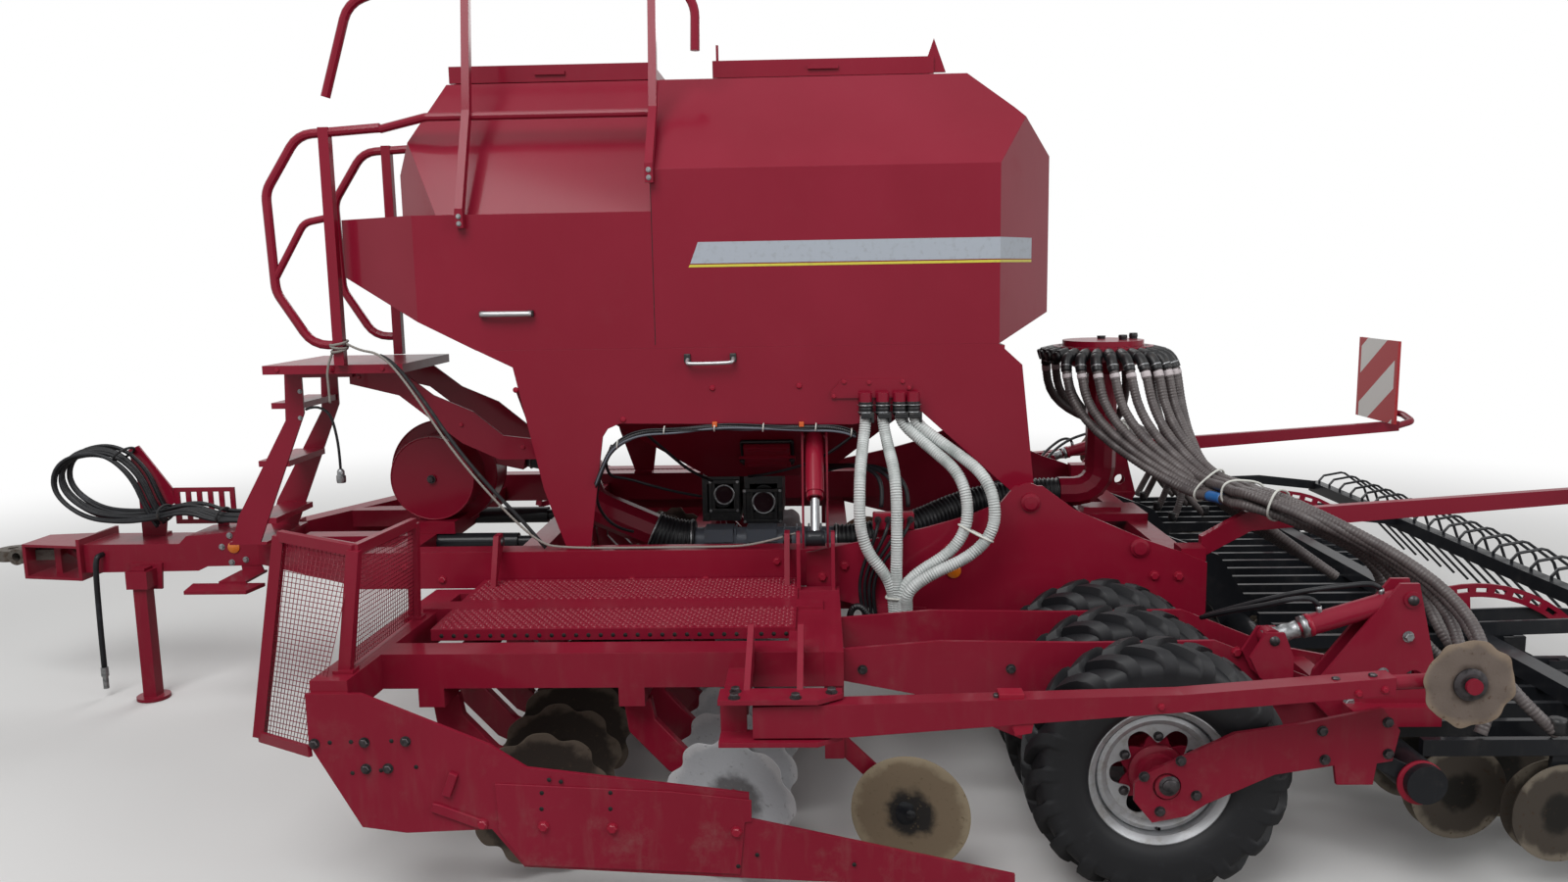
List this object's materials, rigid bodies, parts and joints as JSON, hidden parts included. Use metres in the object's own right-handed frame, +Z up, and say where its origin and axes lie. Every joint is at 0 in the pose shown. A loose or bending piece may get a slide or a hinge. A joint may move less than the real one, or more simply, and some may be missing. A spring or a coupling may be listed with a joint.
{
  "type": "seed drill",
  "caption": "Towed disc-harrow seed drill with a central hopper, tyre packer, folding wings, seed bar with press wheels and side markers.",
  "frame": {"origin": "centre of the bounding box on the ground", "axes": "+X towards the tractor, +Y to the drill's left, +Z up"},
  "size_m": [7.3999, 4.22, 2.9771],
  "materials": {
    "red_paint": "gloss",
    "dark_paint": "satin",
    "disc_steel": "worn",
    "tyre": "matte",
    "rim_silver": "satin",
    "board_face": "satin",
    "hose_black": "satin",
    "hose_grey": "matte",
    "hose_white": "satin",
    "chrome": "polished",
    "cast_grey": "rough"
  },
  "bodies": {
    "chassis": {"tow_eye": "cast_grey", "drawbar": "red_paint", "front_rams": "dark_paint", "main_frame": "red_paint", "disc_tubes": "red_paint", "fold_brackets": "red_paint", "hose_holder": "red_paint", "hydraulic_hoses": "hose_black", "hanging_hose": "hose_black", "hose_coupling": "chrome", "ladder": "red_paint", "platform": "red_paint", "hand_rails": "red_paint", "hopper": "red_paint", "hopper_legs": "red_paint", "meter_units": "dark_paint", "fan": "red_paint", "air_pipe": "red_paint", "air_hoses": "hose_grey", "injector_pipe": "rim_silver", "white_hoses": "hose_white", "distributor": "red_paint", "seed_hoses": "hose_grey", "board_arms": "red_paint", "warning_boards": "board_face", "centre_discs": "disc_steel", "centre_seed_bar": "dark_paint", "centre_seed_discs": "disc_steel"},
    "left_wing": {"left_wing_frame": "red_paint", "left_guard": "red_paint", "left_discs": "disc_steel", "left_seed_bar": "dark_paint", "left_seed_discs": "disc_steel", "left_wing_hoses": "hose_grey"},
    "left_packer": {"left_tyres": "tyre", "left_rims": "rim_silver"},
    "left_press": {"left_press_wheels": "tyre"},
    "left_marker": {"left_marker_arm": "red_paint"},
    "left_marker_wheel": {"left_marker_disc": "disc_steel"},
    "left_barrel": {"left_fold_barrel": "dark_paint"},
    "left_rod": {"left_fold_rod": "chrome"},
    "right_wing": {"right_wing_frame": "red_paint", "right_guard": "red_paint", "right_discs": "disc_steel", "right_seed_bar": "dark_paint", "right_seed_discs": "disc_steel", "right_wing_hoses": "hose_grey"},
    "right_packer": {"right_tyres": "tyre", "right_rims": "rim_silver"},
    "right_press": {"right_press_wheels": "tyre"},
    "right_marker": {"right_marker_arm": "red_paint"},
    "right_marker_wheel": {"right_marker_disc": "disc_steel"},
    "right_barrel": {"right_fold_barrel": "dark_paint"},
    "right_rod": {"right_fold_rod": "chrome"},
    "jack": {"jack_leg": "red_paint"},
    "front_lid": {"front_lid": "red_paint"},
    "rear_lid": {"rear_lid": "red_paint"},
    "centre_packer": {"centre_tyres": "tyre", "centre_rims": "rim_silver"},
    "centre_press": {"centre_press_wheels": "tyre"}
  },
  "joints": [
    {"name": "left_wing_fold", "type": "hinge", "parent": "chassis", "child": "left_wing", "pos_m": [0, 0.93, 0.89], "axis": [1, 0, 0], "range_deg": [0, 80], "deforming": ["left_wing_hoses"]},
    {"name": "left_packer_spin", "type": "hinge", "parent": "left_wing", "child": "left_packer", "pos_m": [-1.1, 0, 0.39], "axis": [0, 1, 0], "continuous": true},
    {"name": "left_press_spin", "type": "hinge", "parent": "left_wing", "child": "left_press", "pos_m": [-2.7, 0, 0.27], "axis": [0, 1, 0], "continuous": true},
    {"name": "left_marker_swing", "type": "hinge", "parent": "left_wing", "child": "left_marker", "pos_m": [0, 2.042, 0.635], "axis": [0, 0, -1], "range_deg": [0, 90]},
    {"name": "left_marker_spin", "type": "hinge", "parent": "left_marker", "child": "left_marker_wheel", "pos_m": [-1.86, 2.072, 0.74], "axis": [0, 1, 0], "continuous": true},
    {"name": "left_barrel_pivot", "type": "hinge", "parent": "chassis", "child": "left_barrel", "pos_m": [-0.095, 0.76, 1.25], "axis": [1, 0, 0], "range_deg": [-8, 1]},
    {"name": "left_rod_slide", "type": "slide", "parent": "left_barrel", "child": "left_rod", "axis": [0, -0.6275, 0.7786], "range_m": [0, 0.14]},
    {"name": "right_wing_fold", "type": "hinge", "parent": "chassis", "child": "right_wing", "pos_m": [0, -0.93, 0.89], "axis": [-1, 0, 0], "range_deg": [0, 80], "deforming": ["right_wing_hoses"]},
    {"name": "right_packer_spin", "type": "hinge", "parent": "right_wing", "child": "right_packer", "pos_m": [-1.1, 0, 0.39], "axis": [0, 1, 0], "continuous": true},
    {"name": "right_press_spin", "type": "hinge", "parent": "right_wing", "child": "right_press", "pos_m": [-2.7, 0, 0.27], "axis": [0, 1, 0], "continuous": true},
    {"name": "right_marker_swing", "type": "hinge", "parent": "right_wing", "child": "right_marker", "pos_m": [0, -2.042, 0.635], "axis": [0, 0, 1], "range_deg": [0, 90]},
    {"name": "right_marker_spin", "type": "hinge", "parent": "right_marker", "child": "right_marker_wheel", "pos_m": [-1.86, -2.072, 0.74], "axis": [0, 1, 0], "continuous": true},
    {"name": "right_barrel_pivot", "type": "hinge", "parent": "chassis", "child": "right_barrel", "pos_m": [-0.095, -0.76, 1.25], "axis": [-1, 0, 0], "range_deg": [-8, 1]},
    {"name": "right_rod_slide", "type": "slide", "parent": "right_barrel", "child": "right_rod", "axis": [0, 0.6275, 0.7786], "range_m": [0, 0.14]},
    {"name": "centre_packer_spin", "type": "hinge", "parent": "chassis", "child": "centre_packer", "pos_m": [-1.1, 0, 0.39], "axis": [0, 1, 0], "continuous": true},
    {"name": "centre_press_spin", "type": "hinge", "parent": "chassis", "child": "centre_press", "pos_m": [-2.7, 0, 0.27], "axis": [0, 1, 0], "continuous": true},
    {"name": "jack_slide", "type": "slide", "parent": "chassis", "child": "jack", "axis": [0, 0, 1], "range_m": [0, 0.2]},
    {"name": "front_lid_open", "type": "hinge", "parent": "chassis", "child": "front_lid", "pos_m": [0.97, -0.45, 2.645], "axis": [1, 0, 0], "range_deg": [0, 100]},
    {"name": "rear_lid_open", "type": "hinge", "parent": "chassis", "child": "rear_lid", "pos_m": [-0.15, -0.45, 2.645], "axis": [1, 0, 0], "range_deg": [0, 100]}
  ],
  "couplings": [
    {"joint": "left_barrel_pivot", "follows": "left_wing_fold", "ratio": -0.0818},
    {"joint": "left_rod_slide", "follows": "left_wing_fold", "m_per_rad": 0.0902},
    {"joint": "right_barrel_pivot", "follows": "right_wing_fold", "ratio": -0.0818},
    {"joint": "right_rod_slide", "follows": "right_wing_fold", "m_per_rad": 0.0902}
  ]
}
